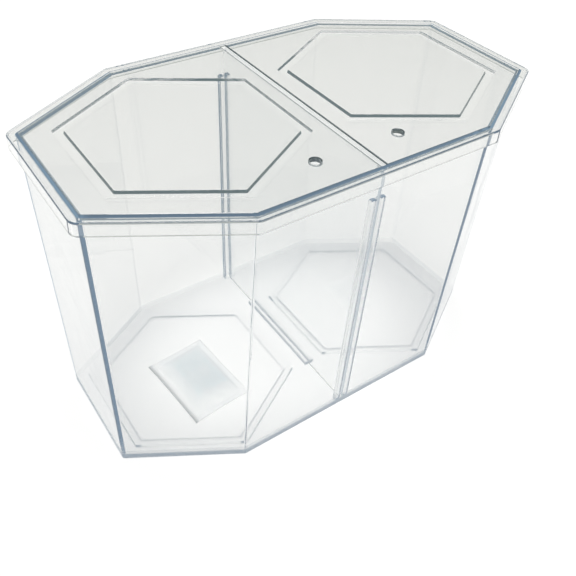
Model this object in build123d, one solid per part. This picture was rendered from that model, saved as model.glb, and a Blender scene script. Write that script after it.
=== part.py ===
from build123d import *
import os
from math import cos, radians, sin, tan

os.makedirs("parts", exist_ok=True)

# A clear moulded tank with two six-sided compartments side by side, a lift-out divider between them
# and a drop-in lid over each. Millimetres, +Z up, origin at the middle of the base.
# X runs along the row of the two compartments, Y from the front (negative) to the back.

# The tank's outline, measured over the rim
tank_length = 240.0
tank_width = 136.0
tank_height = 152.0
end_side = 69.0
slant_angle = 30.0

# Walls, which lean in towards the base
wall = 2.5
wall_set_back = 3.4
base_set_back = 10.0
wall_corner_radius = 1.6
cavity_corner_radius = 0.9
floor = 2.6
base_edge_chamfer = 0.8

# Rim: a flat land that stands out from the walls and turns down into a skirt
rim_corner_radius = 4.5
rim_land = 4.7
rim_plate = 1.4
rim_height = 6.5
rim_skirt = 1.2
rim_edge_radius = 0.5

# Lids, let into the rim and resting on a ledge at the top of the walls
lid_plate = 2.5
lid_below_rim = 0.2
lid_side_clearance = 0.3
lid_seat_clearance = 0.2
lid_corner_radius = 1.0
lid_edge_radius = 0.3
seam_gap = 2.8
air_hole_diameter = 5.0
air_hole_from_seam = 22.0
air_hole_from_middle = 46.2
air_hole_chamfer = 0.3

# Six-sided panels, one in each lid with a groove round it and one raised in the floor below it
panel_middle = 56.2
panel_draft_angle = 15.0
panel_corner_radius = 0.8
lid_panel_flats = 85.8
lid_panel_edge_radius = 0.3
groove_flats = 93.4
groove_depth = 1.3
floor_panel_flats = 91.8
floor_panel_rise = 1.5
floor_hollow_margin = 3.9

# Divider and the ribs that guide it
divider_thickness = 1.8
divider_side_clearance = 0.2
divider_end_clearance = 0.5
divider_top_gap = 0.6
divider_corner_radius = 3.0
rib_width = 2.8
rib_depth = 2.8
rib_top_below_rim = 16.5
rib_top_radius = 2.2
rib_edge_radius = 0.9
floor_rib_length = 56.0
floor_rib_width = 2.0
floor_rib_height = 2.2
floor_rib_edge_radius = 0.6

# Small flat bag that lies on the floor of the left compartment
bag_width = 33.0
bag_length = 45.0
bag_thickness = 3.2
bag_middle = (-57.0, -7.4)
bag_turn = 5.0
bag_corner_radius = 1.0
bag_seam_width = 3.2
bag_seam_thickness = 0.6
bag_shoulder_radius = 1.6
bag_clearance = 0.3

# How far a joined piece reaches into its neighbour
overlap = 0.4

half_length = tank_length / 2
half_width = tank_width / 2
well_depth = lid_plate + lid_below_rim + lid_seat_clearance
ledge_z = tank_height - well_depth
lid_bottom_z = ledge_z + lid_seat_clearance
lid_top_z = lid_bottom_z + lid_plate
rib_top_z = tank_height - rib_top_below_rim
rib_spacing = divider_thickness + 2 * divider_side_clearance + rib_width
floor_rib_spacing = divider_thickness + 2 * divider_side_clearance + floor_rib_width


# The tank's outline moved in by set_back: two ends, two long sides and four slanted sides
def outline(set_back, corner_radius=0.0):
    across = sin(radians(slant_angle))
    along = cos(radians(slant_angle))
    slant_reach = across * half_length + along * end_side / 2 - set_back
    x_end = half_length - set_back
    y_side = half_width - set_back
    y_end = (slant_reach - across * x_end) / along
    x_side = (slant_reach - along * y_side) / across
    quarter = [(x_end, y_end), (x_side, y_side)]
    points = quarter + [(-x, y) for x, y in reversed(quarter)]
    points += [(-x, -y) for x, y in points]
    face = Polygon(*points, align=None)
    if corner_radius > 0:
        face = fillet(face.vertices(), corner_radius)
    return face


# How far a wall's outer face lies inside the rim's outline at height z
def wall_inset(z):
    return base_set_back + (wall_set_back - base_set_back) * z / tank_height


# A solid between two outlines, with its upright edges rounded
def tapered(inset_low, z_low, inset_high, z_high, radius):
    low = Pos(0, 0, z_low) * outline(inset_low)
    high = Pos(0, 0, z_high) * outline(inset_high)
    solid = loft([low, high], ruled=True)
    upright = [e for e in solid.edges() if e.bounding_box().size.Z > (z_high - z_low) / 2]
    return fillet(upright, radius)


# A straight prism on an outline
def prism(inset, z_low, z_high, radius):
    return extrude(Pos(0, 0, z_low) * outline(inset, radius), z_high - z_low)


# A six-sided block with rounded corners and drafted sides, whose flats face the ends of the tank.
# It is measured across its lower flats and narrows upwards, or widens if the draft is below zero.
def panel(across_flats, side, z_low, z_high, draft_angle=panel_draft_angle):
    set_in = (z_high - z_low) * tan(radians(draft_angle))
    low = Pos(0, 0, z_low) * RegularPolygon(across_flats / 2, 6, major_radius=False)
    high = Pos(0, 0, z_high) * RegularPolygon(across_flats / 2 - set_in, 6, major_radius=False)
    block = Rot(0, 0, 30) * loft([low, high], ruled=True)
    upright = [e for e in block.edges() if e.bounding_box().size.Z > (z_high - z_low) / 2]
    return Pos(side * panel_middle, 0, 0) * fillet(upright, panel_corner_radius)


# Where the long wall's inner face lies at height z
def wall_y(z):
    return half_width - wall_inset(z) - wall


# One upright rib on a long wall, leaning with the wall and rounded at its top
def wall_rib(x, side):
    root = wall / 2
    side_view = Plane.YZ * Polygon(
        (wall_y(floor) + root, floor - overlap),
        (wall_y(floor) - rib_depth, floor - overlap),
        (wall_y(rib_top_z) - rib_depth, rib_top_z),
        (wall_y(rib_top_z) + root, rib_top_z),
        align=None,
    )
    rib = extrude(side_view, rib_width / 2, both=True)
    top_edges = rib.edges().filter_by(Axis.X).sort_by(Axis.Z)[-2:]
    rib = fillet(top_edges.sort_by(Axis.Y)[0], rib_top_radius)
    flanks = [e for e in rib.edges() if abs(e.center().X) > rib_width / 4]
    rib = fillet([e for e in flanks if wall_y(e.center().Z) - e.center().Y > rib_depth / 2], rib_edge_radius)
    if side < 0:
        rib = mirror(rib, about=Plane.XZ)
    return Pos(x, 0, 0) * rib


# A low rib on the floor beside the divider's lower edge
def floor_rib(x):
    bar = Pos(x, 0, floor + (floor_rib_height - overlap) / 2) * Box(
        floor_rib_width, floor_rib_length, floor_rib_height + overlap
    )
    top = bar.faces().sort_by(Axis.Z)[-1]
    return fillet(top.edges(), floor_rib_edge_radius)


# Tank: walls, floor, rim, guide ribs and raised floor panels in one moulding
def make_tank():
    shell = tapered(wall_inset(0), 0, wall_inset(tank_height), tank_height, wall_corner_radius)
    shell = chamfer(shell.faces().sort_by(Axis.Z)[0].edges(), base_edge_chamfer)
    rim = prism(0, tank_height - rim_height, tank_height, rim_corner_radius)
    rim = fillet(rim.faces().sort_by(Axis.Z)[-1].edges(), rim_edge_radius)
    under_rim = prism(
        rim_skirt, tank_height - rim_height, tank_height - rim_plate, rim_corner_radius - rim_skirt
    )
    inset_low, inset_high = wall_inset(floor) + wall, wall_inset(tank_height) + wall
    cavity = tapered(inset_low, floor, inset_high, tank_height, cavity_corner_radius)
    well = prism(rim_land, ledge_z, tank_height, lid_corner_radius)
    tank = (rim - under_rim) + shell - cavity - well
    for side in (-1, 1):
        tank += panel(floor_panel_flats, side, floor, floor + floor_panel_rise)
        tank -= panel(floor_panel_flats - 2 * floor_hollow_margin, side, 0, floor_panel_rise)
        for x in (-rib_spacing / 2, rib_spacing / 2):
            tank += wall_rib(x, side)
        tank += floor_rib(side * floor_rib_spacing / 2)
    return tank


# The six-sided groove that is moulded round one lid's panel
def lid_groove(side):
    groove_z = lid_top_z - groove_depth
    recess = panel(groove_flats, side, groove_z, lid_top_z, -panel_draft_angle)
    middle = panel(lid_panel_flats, side, groove_z, lid_top_z)
    middle = fillet(middle.faces().sort_by(Axis.Z)[-1].edges(), lid_panel_edge_radius)
    return recess - middle


# One lid: half of the outline, cut at the seam, with the groove round its panel and its air hole
def make_lid(side):
    plate = prism(rim_land + lid_side_clearance, lid_bottom_z, lid_top_z, lid_corner_radius)
    half = Pos(side * (seam_gap + tank_length) / 2, 0, (lid_bottom_z + lid_top_z) / 2) * Box(
        tank_length, tank_width, 2 * lid_plate
    )
    lid = plate & half
    lid = fillet(lid.faces().sort_by(Axis.Z)[-1].edges(), lid_edge_radius)
    lid -= lid_groove(side)
    hole_middle = (side * air_hole_from_seam, -air_hole_from_middle, (lid_bottom_z + lid_top_z) / 2)
    lid -= Pos(*hole_middle) * Cylinder(air_hole_diameter / 2, 2 * lid_plate)
    hole_edges = lid.edges().filter_by(GeomType.CIRCLE).sort_by_distance(hole_middle)[:2]
    return chamfer(hole_edges, air_hole_chamfer)


# Divider: a flat sheet as wide as the tank at every height, less its clearance
def make_divider():
    z_low = floor + divider_side_clearance
    z_high = lid_bottom_z - divider_top_gap
    half_low = wall_y(z_low) - divider_end_clearance
    half_high = wall_y(z_high) - divider_end_clearance
    corners = [(-half_low, z_low), (half_low, z_low), (half_high, z_high), (-half_high, z_high)]
    sheet = Polygon(*corners, align=None)
    sheet = fillet(sheet.vertices(), divider_corner_radius)
    return extrude(Plane.YZ * sheet, divider_thickness / 2, both=True)


# Small bag, a pillow with a flat sealed border, lying on the raised floor
def make_bag():
    border = extrude(RectangleRounded(bag_width, bag_length, bag_corner_radius), bag_seam_thickness)
    filled = Rectangle(bag_width - 2 * bag_seam_width, bag_length - 2 * bag_seam_width)
    pillow = extrude(filled, bag_thickness)
    pillow = fillet(pillow.edges().filter_by(Axis.Z), bag_shoulder_radius + bag_corner_radius)
    pillow = fillet(pillow.faces().sort_by(Axis.Z)[-1].edges(), bag_shoulder_radius)
    z_floor = floor + floor_panel_rise + bag_clearance
    return Pos(*bag_middle, z_floor) * Rot(0, 0, bag_turn) * (border + pillow)


export_step(make_tank(), "parts/tank_body.step")
export_step(make_lid(-1), "parts/lid_left.step")
export_step(make_lid(1), "parts/lid_right.step")
export_step(make_divider(), "parts/divider.step")
export_step(make_bag(), "parts/sachet.step")
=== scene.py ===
"""A clear two-compartment fish tank with two lids, a divider and a loose sachet, on a pale studio floor."""

import logging
import math
from dataclasses import dataclass, field
from enum import Enum

import bmesh
import bpy
from mathutils import Matrix, Vector, noise


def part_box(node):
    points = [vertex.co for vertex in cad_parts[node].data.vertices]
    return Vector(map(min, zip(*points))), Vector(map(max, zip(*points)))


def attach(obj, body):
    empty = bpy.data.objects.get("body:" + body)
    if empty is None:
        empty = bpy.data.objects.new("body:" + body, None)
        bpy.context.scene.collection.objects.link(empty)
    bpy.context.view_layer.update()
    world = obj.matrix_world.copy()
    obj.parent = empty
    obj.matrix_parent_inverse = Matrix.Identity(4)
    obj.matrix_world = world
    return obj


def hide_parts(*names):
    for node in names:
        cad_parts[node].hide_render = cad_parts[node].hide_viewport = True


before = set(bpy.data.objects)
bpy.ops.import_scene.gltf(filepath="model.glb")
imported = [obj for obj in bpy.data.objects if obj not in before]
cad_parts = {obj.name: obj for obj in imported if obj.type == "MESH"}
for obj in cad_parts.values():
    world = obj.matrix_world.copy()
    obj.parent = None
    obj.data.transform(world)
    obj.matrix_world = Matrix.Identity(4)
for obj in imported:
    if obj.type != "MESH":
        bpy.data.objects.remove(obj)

LOG = logging.getLogger("tank")
MM = 0.001
# How many radians Blender's wave texture turns through over one unit of its scaled coordinate
WAVE_TURN = 20.0


def linear(hex_colour: str) -> tuple[float, float, float, float]:
    """Turn an sRGB hex colour into the linear colour that shaders take.

    Args:
        hex_colour: Six hex digits after a hash sign.

    Returns:
        Red, green, blue and an alpha of 1, as linear values.
    """
    parts = [int(hex_colour[i:i + 2], 16) / 255 for i in (1, 3, 5)]
    return tuple(c / 12.92 if c <= 0.04045 else ((c + 0.055) / 1.055) ** 2.4 for c in parts) + (1.0,)


def per_size(size_mm: float) -> float:
    """Give the texture scale at which a pattern repeats about every size_mm millimetres."""
    return 1.0 / (size_mm * MM)


def add_node(tree: bpy.types.NodeTree, kind: str, settings: dict | None = None,
             inputs: dict | None = None) -> bpy.types.Node:
    """Add one node with its settings, its input values and the links into it.

    Args:
        tree: The node tree that the node goes into.
        kind: The node's Blender type.
        settings: Properties of the node, by name.
        inputs: Socket values by name or number, where a socket as a value is linked.

    Returns:
        The new node.
    """
    node = tree.nodes.new(kind)
    for name, value in (settings or {}).items():
        setattr(node, name, value)
    for name, value in (inputs or {}).items():
        if isinstance(value, bpy.types.NodeSocket):
            tree.links.new(value, node.inputs[name])
        else:
            node.inputs[name].default_value = value
    return node


def empty_material(name: str) -> tuple[bpy.types.Material, bpy.types.NodeTree]:
    """Start a node material with nothing in it.

    Args:
        name: The material's name, that of the real one.

    Returns:
        The material and its node tree.
    """
    material = bpy.data.materials.new(name)
    material.use_nodes = True
    material.node_tree.nodes.clear()
    return material, material.node_tree


class Compartment(Enum):
    """The two halves of the tank, each named as its lid's node and body are."""

    LEFT = "left"
    RIGHT = "right"


@dataclass(frozen=True)
class MattZone:
    """The faces of a glassy moulding that the mould or the saw leaves matt.

    They lie below a height and, on the lids, near the seam. They look softly blurred and a little milky, and
    where a glow is set, part of that milkiness is a painted glow.
    """

    below_mm: float
    seam_within_mm: float = 0.0
    edge_mm: float = 0.4
    roughness: float = 0.3
    passes: float = 1.0
    # strength of a painted glow that the matt faces give off
    glow: float = 0.0

    def mask(self, tree: bpy.types.NodeTree, place: bpy.types.Node) -> bpy.types.NodeSocket:
        """Make a mask that is 1 on the matt faces and 0 on the glassy rest.

        Args:
            tree: The material's node tree.
            place: Its Texture Coordinate node.

        Returns:
            The socket that gives the mask.
        """
        split = add_node(tree, "ShaderNodeSeparateXYZ", {}, {"Vector": place.outputs["Object"]})
        low = self.fade(tree, split.outputs["Z"], self.below_mm)
        if self.seam_within_mm == 0:
            return low
        away = add_node(tree, "ShaderNodeMath", {"operation": "ABSOLUTE"}, {0: split.outputs["X"]})
        near = self.fade(tree, away.outputs[0], self.seam_within_mm)
        return add_node(tree, "ShaderNodeMath", {"operation": "MULTIPLY"}, {0: low, 1: near}).outputs[0]

    def fade(self, tree: bpy.types.NodeTree, value: bpy.types.NodeSocket,
             end_mm: float) -> bpy.types.NodeSocket:
        """Fade from 1 to 0 just past a distance.

        Args:
            tree: The material's node tree.
            value: The socket that gives the distance, in metres.
            end_mm: Where the fade starts, in millimetres.

        Returns:
            The socket that gives the faded value.
        """
        fade = add_node(tree, "ShaderNodeMapRange", {"interpolation_type": "SMOOTHSTEP"}, {
            "Value": value, "From Min": end_mm * MM, "From Max": (end_mm + self.edge_mm) * MM,
            "To Min": 1.0, "To Max": 0.0})
        return fade.outputs["Result"]

    def dull(self, tree: bpy.types.NodeTree, place: bpy.types.Node, shell: bpy.types.Node,
             clear: float) -> None:
        """Roughen the shell inside the zone, let less light through it and give its sawn face a painted glow.

        Args:
            tree: The material's node tree.
            place: Its Texture Coordinate node.
            shell: The shader of the outer faces.
            clear: The roughness outside the zone.
        """
        mask = self.mask(tree, place)
        values = {"Roughness": (clear, self.roughness), "Transmission Weight": (1.0, self.passes),
                  "Emission Strength": (0.0, self.glow)}
        for socket, (outside, inside) in values.items():
            blend = add_node(tree, "ShaderNodeMapRange", {}, {
                "Value": mask, "To Min": outside, "To Max": inside})
            tree.links.new(blend.outputs["Result"], shell.inputs[socket])


@dataclass(frozen=True)
class CutEdges:
    """The lids' sawn corners along the seam and their drilled air holes.

    Light is lost at their broken corners, so they read as thin dark lines and rings, which the material
    paints as a dark tint: painted shading.
    """

    seam_within_mm: float = 2.0
    above_mm: float = 151.3
    hole_from_seam_mm: float = 22.0
    hole_from_middle_mm: float = 46.2
    hole_within_mm: float = 2.95
    # colour of the painted shading at the cut edges
    colour: str = "#667076"

    def paint_edge_shading(self, tree: bpy.types.NodeTree, place: bpy.types.Node, shell: bpy.types.Node,
               clear: str) -> None:
        """Paint a dark tint on the light that passes the cut edges, as painted shading for the light their
        corners lose.

        Args:
            tree: The material's node tree.
            place: Its Texture Coordinate node.
            shell: The shader of the outer faces.
            clear: The colour of the faces away from the edges.
        """
        split = add_node(tree, "ShaderNodeSeparateXYZ", {}, {"Vector": place.outputs["Object"]})
        away = add_node(tree, "ShaderNodeMath", {"operation": "ABSOLUTE"}, {0: split.outputs["X"]})
        beside = add_node(tree, "ShaderNodeMath", {"operation": "LESS_THAN"}, {
            0: away.outputs[0], 1: self.seam_within_mm * MM})
        high = add_node(tree, "ShaderNodeMath", {"operation": "GREATER_THAN"}, {
            0: split.outputs["Z"], 1: self.above_mm * MM})
        corner = add_node(tree, "ShaderNodeMath", {"operation": "MULTIPLY"}, {
            0: beside.outputs[0], 1: high.outputs[0]})
        flat = add_node(tree, "ShaderNodeCombineXYZ", {}, {0: away.outputs[0], 1: split.outputs["Y"]})
        hole_middle = (self.hole_from_seam_mm * MM, -self.hole_from_middle_mm * MM, 0.0)
        reach = add_node(tree, "ShaderNodeVectorMath", {"operation": "DISTANCE"}, {
            0: flat.outputs["Vector"], 1: hole_middle})
        hole = add_node(tree, "ShaderNodeMath", {"operation": "LESS_THAN"}, {
            0: reach.outputs["Value"], 1: self.hole_within_mm * MM})
        cut = add_node(tree, "ShaderNodeMath", {"operation": "MAXIMUM"}, {
            0: corner.outputs[0], 1: hole.outputs[0]})
        # painted shading: a dark tint over the seam's top corners and round the air holes
        colour = add_node(tree, "ShaderNodeMix", {"data_type": "RGBA"}, {
            0: cut.outputs[0], 6: linear(clear), 7: linear(self.colour)})
        tree.links.new(colour.outputs[2], shell.inputs["Base Color"])


@dataclass(frozen=True)
class ClearPlastic:
    """Clear polystyrene with glassy moulded faces.

    The inside takes a little of every colour over a wall's thickness, so a face stays clear and neutral. It
    also carries a painted glow, so over a long way along a plate the light settles at the glow colour, and
    cut edges and rims read as tinted lines of painted light.
    """

    name: str = "injection_moulded_clear_polystyrene"
    tint: str = "#FDFDFC"
    passed: str = "#8A7A58"
    glow: str = "#6A86A2"
    density: float = 44.0
    ior: float = 1.59
    roughness: float = 0.012
    matt: MattZone | None = None
    cut: CutEdges | None = None
    ripple_mm: float = 24.0
    ripple_height_mm: float = 0.35
    ripple_strength: float = 0.12
    ripple_octaves: float = 2.0
    ripple_fineness: float = 0.4

    def build(self) -> bpy.types.Material:
        """Make the material: a glassy shell over a faintly tinted inside with a painted glow.

        Returns:
            The finished material.
        """
        material, tree = empty_material(self.name)
        place = add_node(tree, "ShaderNodeTexCoord")
        ripple = add_node(tree, "ShaderNodeTexNoise", {}, {
            "Vector": place.outputs["Object"], "Scale": per_size(self.ripple_mm),
            "Detail": self.ripple_octaves, "Roughness": self.ripple_fineness})
        bump = add_node(tree, "ShaderNodeBump", {}, {
            "Strength": self.ripple_strength, "Distance": self.ripple_height_mm * MM,
            "Height": ripple.outputs["Fac"]})
        shell = add_node(tree, "ShaderNodeBsdfPrincipled", {}, {
            "Base Color": linear(self.tint), "Roughness": self.roughness, "IOR": self.ior,
            "Transmission Weight": 1.0, "Emission Color": linear("#FFFFFF"),
            "Normal": bump.outputs["Normal"]})
        if self.matt is not None:
            self.matt.dull(tree, place, shell, self.roughness)
        if self.cut is not None:
            self.cut.paint_edge_shading(tree, place, shell, self.tint)
        inside = add_node(tree, "ShaderNodeVolumeAbsorption", {}, {
            "Color": linear(self.passed), "Density": self.density})
        # painted glow inside the plastic: the volume gives off the glow colour, so long paths along a plate
        # settle at it
        painted_glow_inside = add_node(tree, "ShaderNodeEmission", {}, {
            "Color": linear(self.glow), "Strength": self.density})
        both = add_node(tree, "ShaderNodeAddShader", {}, {
            0: inside.outputs["Volume"], 1: painted_glow_inside.outputs["Emission"]})
        add_node(tree, "ShaderNodeOutputMaterial", {}, {
            "Surface": shell.outputs["BSDF"], "Volume": both.outputs["Shader"]})
        return material


@dataclass(frozen=True)
class SachetFilm:
    """White laminated polythene film, softly glossy, over a filling of small beads.

    The sealed border is plain white and crimped in fine ridges, and one long side carries a painted shadow, a
    grey band that stands in for the soft contact shadow along it. The middle carries a bare cool grey panel.
    The film glows a little with painted light, which stands in for the pale floor's light coming up through
    the thin film.
    """

    name: str = "laminated_white_polythene_film"
    white: str = "#FBFBFC"
    panel: str = "#E9ECEE"
    panel_shade: str = "#DBE1E5"
    roughness: float = 0.36
    ior: float = 1.5
    bead_mm: float = 2.4
    bead_depth: float = 0.35
    crease_mm: float = 9.0
    crease_octaves: float = 3.0
    relief_mm: float = 0.35
    relief_strength: float = 0.6
    crimp_mm: float = 1.5
    crimp_depth: float = 0.35
    panel_offset_mm: tuple[float, float] = (2.4, 3.4)
    panel_half_mm: tuple[float, float] = (11.6, 16.4)
    panel_edge_mm: float = 4.0
    scatter: float = 0.6
    scatter_mm: float = 2.5
    # strength of a painted glow of the film, standing in for the floor's light coming up through it
    painted_film_glow: float = 0.40
    # painted shadow: the grey of a band along the left long side, and the width of that band
    painted_shadow: str = "#A6A7A8"
    painted_shadow_mm: float = 3.4

    def build(self, middle: Vector, turn: float, half_width: float, half_length: float,
              seam: float) -> bpy.types.Material:
        """Make the film.

        Args:
            middle: The sachet's middle, in metres.
            turn: How far it lies turned about Z, in radians.
            half_width: Half its width, in metres.
            half_length: Half its length, in metres.
            seam: The width of its sealed border, in metres.

        Returns:
            The finished material.
        """
        material, tree = empty_material(self.name)
        place = add_node(tree, "ShaderNodeTexCoord")
        own = add_node(tree, "ShaderNodeMapping", {"vector_type": "TEXTURE"}, {
            "Vector": place.outputs["Object"], "Location": middle, "Rotation": (0.0, 0.0, turn)})
        split = add_node(tree, "ShaderNodeSeparateXYZ", {}, {"Vector": own.outputs["Vector"]})
        reach = []
        for axis, offset, half in zip("XY", self.panel_offset_mm, self.panel_half_mm):
            moved = add_node(tree, "ShaderNodeMath", {"operation": "SUBTRACT"}, {
                0: split.outputs[axis], 1: offset * MM})
            away = add_node(tree, "ShaderNodeMath", {"operation": "ABSOLUTE"}, {0: moved.outputs[0]})
            reach.append(add_node(tree, "ShaderNodeMath", {"operation": "SUBTRACT"}, {
                0: away.outputs[0], 1: half * MM}))
        edge = add_node(tree, "ShaderNodeMath", {"operation": "MAXIMUM"}, {
            0: reach[0].outputs[0], 1: reach[1].outputs[0]})
        inside = add_node(tree, "ShaderNodeMapRange", {"interpolation_type": "SMOOTHSTEP"}, {
            "Value": edge.outputs[0], "From Min": -self.panel_edge_mm * MM,
            "From Max": self.panel_edge_mm * MM, "To Min": 1.0, "To Max": 0.0})
        cloud = add_node(tree, "ShaderNodeTexNoise", {}, {
            "Vector": own.outputs["Vector"], "Scale": per_size(self.crease_mm),
            "Detail": self.crease_octaves})
        printed = add_node(tree, "ShaderNodeMix", {"data_type": "RGBA"}, {
            0: cloud.outputs["Fac"], 6: linear(self.panel), 7: linear(self.panel_shade)})
        colour = add_node(tree, "ShaderNodeMix", {"data_type": "RGBA"}, {
            0: inside.outputs["Result"], 6: linear(self.white), 7: printed.outputs[2]})
        # painted shadow: a grey band fading in from the left long side of the film
        painted_shadow_mask = add_node(tree, "ShaderNodeMapRange", {"interpolation_type": "SMOOTHSTEP"}, {
            "Value": split.outputs["X"], "From Min": -half_width,
            "From Max": -half_width + self.painted_shadow_mm * MM, "To Min": 1.0, "To Max": 0.0})
        with_painted_shadow = add_node(tree, "ShaderNodeMix", {"data_type": "RGBA"}, {
            0: painted_shadow_mask.outputs["Result"], 6: colour.outputs[2], 7: linear(self.painted_shadow)})
        height = self.relief(tree, own, split, cloud, half_length - seam)
        bump = add_node(tree, "ShaderNodeBump", {}, {
            "Strength": self.relief_strength, "Distance": self.relief_mm * MM, "Height": height})
        # the film's emission is a painted glow in its own colour
        film = add_node(tree, "ShaderNodeBsdfPrincipled", {}, {
            "Base Color": with_painted_shadow.outputs[2], "Roughness": self.roughness, "IOR": self.ior,
            "Subsurface Weight": self.scatter, "Subsurface Radius": (1.0, 1.0, 1.0),
            "Subsurface Scale": self.scatter_mm * MM,
            "Emission Color": with_painted_shadow.outputs[2], "Emission Strength": self.painted_film_glow,
            "Normal": bump.outputs["Normal"]})
        add_node(tree, "ShaderNodeOutputMaterial", {}, {"Surface": film.outputs["BSDF"]})
        return material

    def relief(self, tree: bpy.types.NodeTree, own: bpy.types.Node, split: bpy.types.Node,
               cloud: bpy.types.Node, crimp_from: float) -> bpy.types.NodeSocket:
        """Add up beads and creases over the filling and crimp ridges over the two end seals.

        Args:
            tree: The material's node tree.
            own: The Mapping node that gives the sachet's own coordinates.
            split: The same coordinates apart.
            cloud: The broad noise of the creases.
            crimp_from: How far from the middle the end seals start, in metres.

        Returns:
            The socket that gives the height.
        """
        beads = add_node(tree, "ShaderNodeTexVoronoi", {"feature": "SMOOTH_F1"}, {
            "Vector": own.outputs["Vector"], "Scale": per_size(self.bead_mm)})
        ridges = add_node(tree, "ShaderNodeTexWave", {"bands_direction": "Y"}, {
            "Vector": own.outputs["Vector"], "Scale": per_size(self.crimp_mm) * math.tau / WAVE_TURN})
        pressed = add_node(tree, "ShaderNodeMath", {"operation": "MULTIPLY"}, {
            0: ridges.outputs["Fac"], 1: self.crimp_depth})
        far = add_node(tree, "ShaderNodeMath", {"operation": "ABSOLUTE"}, {0: split.outputs["Y"]})
        sealed = add_node(tree, "ShaderNodeMath", {"operation": "GREATER_THAN"}, {
            0: far.outputs[0], 1: crimp_from})
        filled = add_node(tree, "ShaderNodeMath", {"operation": "MULTIPLY_ADD"}, {
            0: beads.outputs["Distance"], 1: -self.bead_depth, 2: cloud.outputs["Fac"]})
        chosen = add_node(tree, "ShaderNodeMix", {"data_type": "FLOAT"}, {
            0: sealed.outputs[0], 2: filled.outputs[0], 3: pressed.outputs[0]})
        return chosen.outputs[0]


@dataclass
class TankMoulding:
    """The walls, floor, rim and guide ribs, moulded in one piece, with a matt base."""

    node: str = "tank_body"
    finish: ClearPlastic = field(default_factory=lambda: ClearPlastic(
        name="clear_polystyrene_with_matt_base", matt=MattZone(below_mm=5.0, roughness=0.34)))

    def dress(self) -> None:
        """Give the moulding its plastic."""
        dress_node(self.node, self.finish.build())


@dataclass
class Lid:
    """One drop-in lid with its grooved six-sided panel and air hole."""

    compartment: Compartment
    # the lid's plastic has painted shading at its cut edges and a painted glow on its sawn seam
    finish: ClearPlastic = field(default_factory=lambda: ClearPlastic(
        name="clear_polystyrene_with_sawn_seam", passed="#8B7E7C", glow="#6F8084", cut=CutEdges(),
        matt=MattZone(
            below_mm=151.2, seam_within_mm=1.45, edge_mm=0.1, roughness=0.6, passes=0.2, glow=0.25)))

    def dress(self) -> None:
        """Give the lid its plastic."""
        dress_node(f"lid_{self.compartment.value}", self.finish.build())


@dataclass
class Divider:
    """The lift-out sheet between the compartments, whose edges stay pale through a pale painted glow inside
    it.
    """

    node: str = "divider"
    finish: ClearPlastic = field(default_factory=lambda: ClearPlastic(
        name="clear_extruded_polystyrene_sheet", passed="#606060", glow="#BCC8D2", density=60.0))

    def dress(self) -> None:
        """Give the sheet its plastic."""
        dress_node(self.node, self.finish.build())


@dataclass
class Sachet:
    """The small loose sachet: two films sealed round a filling of beads, so it is a crowned pillow."""

    node: str = "sachet"
    body: str = "sachet"
    turn_deg: float = 5.0
    seam_mm: float = 3.2
    film_mm: float = 0.5
    pull_in_mm: float = 0.3
    crown_power: float = 0.55
    crown_share: float = 0.98
    crease_mm: float = 9.0
    crease_height_mm: float = 0.45
    columns: int = 44
    rows: int = 60
    finish: SachetFilm = field(default_factory=SachetFilm)

    def build(self) -> bpy.types.Object:
        """Model the sachet in the space of its solid and let it stand for that solid.

        Returns:
            The finished piece.
        """
        low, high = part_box(self.node)
        turn = math.radians(self.turn_deg)
        spread = math.cos(turn) ** 2 - math.sin(turn) ** 2
        across, along = high.x - low.x, high.y - low.y
        width = (across * math.cos(turn) - along * math.sin(turn)) / spread
        length = (along * math.cos(turn) - across * math.sin(turn)) / spread
        film = self.film_mm * MM
        mesh = bmesh.new()
        bmesh.ops.create_grid(mesh, x_segments=self.columns, y_segments=self.rows, size=0.5)
        bmesh.ops.scale(mesh, vec=(width, length, 1.0), verts=mesh.verts)
        bmesh.ops.solidify(mesh, geom=mesh.faces[:], thickness=film)
        lowest = min(vertex.co.z for vertex in mesh.verts)
        bmesh.ops.translate(mesh, vec=(0.0, 0.0, -lowest), verts=mesh.verts)
        for vertex in mesh.verts:
            self.crown(vertex, width / 2, length / 2, high.z - low.z - film)
        bmesh.ops.recalc_face_normals(mesh, faces=mesh.faces[:])
        middle = Vector(((low.x + high.x) / 2, (low.y + high.y) / 2, low.z))
        mesh.transform(Matrix.Translation(middle) @ Matrix.Rotation(turn, 4, "Z"))
        data = bpy.data.meshes.new("sachet_pillow")
        mesh.to_mesh(data)
        mesh.free()
        data.shade_smooth()
        data.materials.append(self.finish.build(middle, turn, width / 2, length / 2, self.seam_mm * MM))
        piece = bpy.data.objects.new("sachet_pillow", data)
        bpy.context.scene.collection.objects.link(piece)
        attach(piece, self.body)
        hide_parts(self.node)
        return piece

    def crown(self, vertex: bmesh.types.BMVert, half_width: float, half_length: float, rise: float) -> None:
        """Raise one point of the upper film over the filling and pull the sides in between the corners.

        Args:
            vertex: The point, in the sachet's own place before it is laid down.
            half_width: Half the sachet's width, in metres.
            half_length: Half its length, in metres.
            rise: The most that the filling lifts the film, in metres.
        """
        x, y, z = vertex.co
        seam = self.seam_mm * MM
        halves = ((x, half_width), (y, half_length))
        inner = [max(0.0, 1 - (abs(c) / (half - seam)) ** 2) for c, half in halves]
        fullness = (inner[0] * inner[1]) ** self.crown_power
        folds = noise.noise(Vector((x, y, 0.0)) / (self.crease_mm * MM)) * self.crease_height_mm * MM
        if z > self.film_mm * MM / 2:
            vertex.co.z = z + fullness * (rise - abs(folds)) * self.crown_share
        pull = self.pull_in_mm * MM
        vertex.co.x -= math.copysign(pull, x) * abs(x) / half_width * (1 - (y / half_length) ** 2)
        vertex.co.y -= math.copysign(pull, y) * abs(y) / half_length * (1 - (x / half_width) ** 2)


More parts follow.
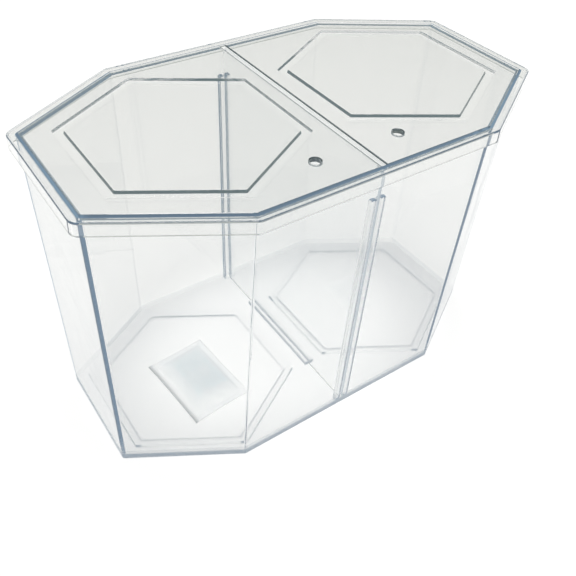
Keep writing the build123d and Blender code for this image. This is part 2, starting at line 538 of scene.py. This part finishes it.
@dataclass
class Studio:
    """A pale floor with a pool of light on it, soft light all round and the camera of the photograph."""

    camera_place: tuple[float, float, float] = (-0.18112, -0.24090, 0.31665)
    right: tuple[float, float, float] = (0.82289, -0.56622, 0.04740)
    down: tuple[float, float, float] = (-0.30711, -0.51340, -0.80132)
    sensor: float = 36.0
    lens: float = 46.927
    shift: tuple[float, float] = (0.00822, -0.14856)
    sees_from: float = 0.01
    sees_to: float = 50.0
    floor_size: float = 12.0
    floor_drop_mm: float = 0.4
    paper: str = "#6A6A6A"
    pool_middle: tuple[float, float] = (-0.004, 0.0)
    pool_stretch: float = 1.45
    pool_inner: float = 0.030
    pool_outer: float = 0.084
    pool_light: float = 1.29
    floor_light: float = 0.84
    paper_roughness: float = 0.9
    sky_bands: tuple[tuple[float, str], ...] = (
        (0.10, "#7A7B7A"), (0.28, "#464944"), (0.55, "#555754"), (0.82, "#616360"), (0.95, "#F6F5F1"))
    sky_light: float = 5.2
    light_bounces: int = 16

    def camera(self) -> None:
        """Place the camera as solved from the photograph's straight edges."""
        data = bpy.data.cameras.new("photo_camera")
        data.sensor_width = self.sensor
        data.lens = self.lens
        data.shift_x, data.shift_y = self.shift
        data.clip_start, data.clip_end = self.sees_from, self.sees_to
        camera = bpy.data.objects.new("photo_camera", data)
        right = Vector(self.right).normalized()
        up = -Vector(self.down).normalized()
        back = right.cross(up).normalized()
        turn = Matrix((right, back.cross(right), back)).transposed().to_4x4()
        camera.matrix_world = Matrix.Translation(self.camera_place) @ turn
        bpy.context.scene.collection.objects.link(camera)
        bpy.context.scene.camera = camera

    def floor(self) -> None:
        """Lay the pale floor just below the tank, with a painted pool of light that is brightest below its
        middle.
        """
        mesh = bmesh.new()
        bmesh.ops.create_grid(mesh, x_segments=1, y_segments=1, size=self.floor_size / 2)
        bmesh.ops.translate(mesh, vec=(0.0, 0.0, -self.floor_drop_mm * MM), verts=mesh.verts)
        data = bpy.data.meshes.new("studio_floor")
        mesh.to_mesh(data)
        mesh.free()
        floor = bpy.data.objects.new("studio_floor", data)
        material, tree = empty_material("pale_paper_floor")
        place = add_node(tree, "ShaderNodeTexCoord")
        own = add_node(tree, "ShaderNodeMapping", {"vector_type": "TEXTURE"}, {
            "Vector": place.outputs["Object"], "Location": (*self.pool_middle, 0.0),
            "Scale": (self.pool_stretch, 1.0, 1.0)})
        away = add_node(tree, "ShaderNodeVectorMath", {"operation": "LENGTH"}, {0: own.outputs["Vector"]})
        # painted pool of light: the floor's own light is stronger near the tank's middle
        pool = add_node(tree, "ShaderNodeMapRange", {"interpolation_type": "SMOOTHSTEP"}, {
            "Value": away.outputs["Value"], "From Min": self.pool_inner, "From Max": self.pool_outer,
            "To Min": self.pool_light, "To Max": self.floor_light})
        paper = add_node(tree, "ShaderNodeBsdfPrincipled", {}, {
            "Base Color": linear(self.paper), "Roughness": self.paper_roughness,
            "Emission Color": linear("#FFFFFF"), "Emission Strength": pool.outputs["Result"]})
        add_node(tree, "ShaderNodeOutputMaterial", {}, {"Surface": paper.outputs["BSDF"]})
        data.materials.append(material)
        bpy.context.scene.collection.objects.link(floor)

    def light(self) -> None:
        """Light the set with a pale room that is brightest overhead."""
        world = bpy.data.worlds.new("pale_room")
        world.use_nodes = True
        tree = world.node_tree
        tree.nodes.clear()
        place = add_node(tree, "ShaderNodeTexCoord")
        split = add_node(tree, "ShaderNodeSeparateXYZ", {}, {"Vector": place.outputs["Generated"]})
        ramp = add_node(tree, "ShaderNodeValToRGB", {}, {"Fac": split.outputs["Z"]})
        stops = ramp.color_ramp.elements
        for position, colour in self.sky_bands:
            stop = stops.new(position)
            stop.color = linear(colour)
        stops.remove(stops[0])
        stops.remove(stops[-1])
        sky = add_node(tree, "ShaderNodeBackground", {}, {
            "Color": ramp.outputs["Color"], "Strength": self.sky_light})
        add_node(tree, "ShaderNodeOutputWorld", {}, {"Surface": sky.outputs["Background"]})
        bpy.context.scene.world = world

    def settle(self) -> None:
        """Set how far light is followed through the clear plates, and a plain view of its values."""
        scene = bpy.context.scene
        scene.view_settings.view_transform = "Standard"
        scene.cycles.max_bounces = self.light_bounces
        scene.cycles.transmission_bounces = self.light_bounces


def dress_node(name: str, material: bpy.types.Material) -> None:
    """Put one material on a carried-over piece.

    Args:
        name: The piece's node.
        material: The material that it shows.
    """
    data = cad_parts[name].data
    data.materials.clear()
    data.materials.append(material)
    LOG.info("dressed %s in %s", name, material.name)


def main() -> None:
    """Dress the moulded pieces, model the sachet, build the studio and report each piece."""
    logging.basicConfig(level=logging.INFO, format="%(message)s")
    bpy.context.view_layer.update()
    studio = Studio()
    studio.camera()
    TankMoulding().dress()
    for compartment in Compartment:
        Lid(compartment).dress()
    Divider().dress()
    sachet = Sachet().build()
    LOG.info("modelled %s with %d faces", sachet.name, len(sachet.data.polygons))
    studio.floor()
    studio.light()
    studio.settle()


if __name__ == "__main__":
    main()
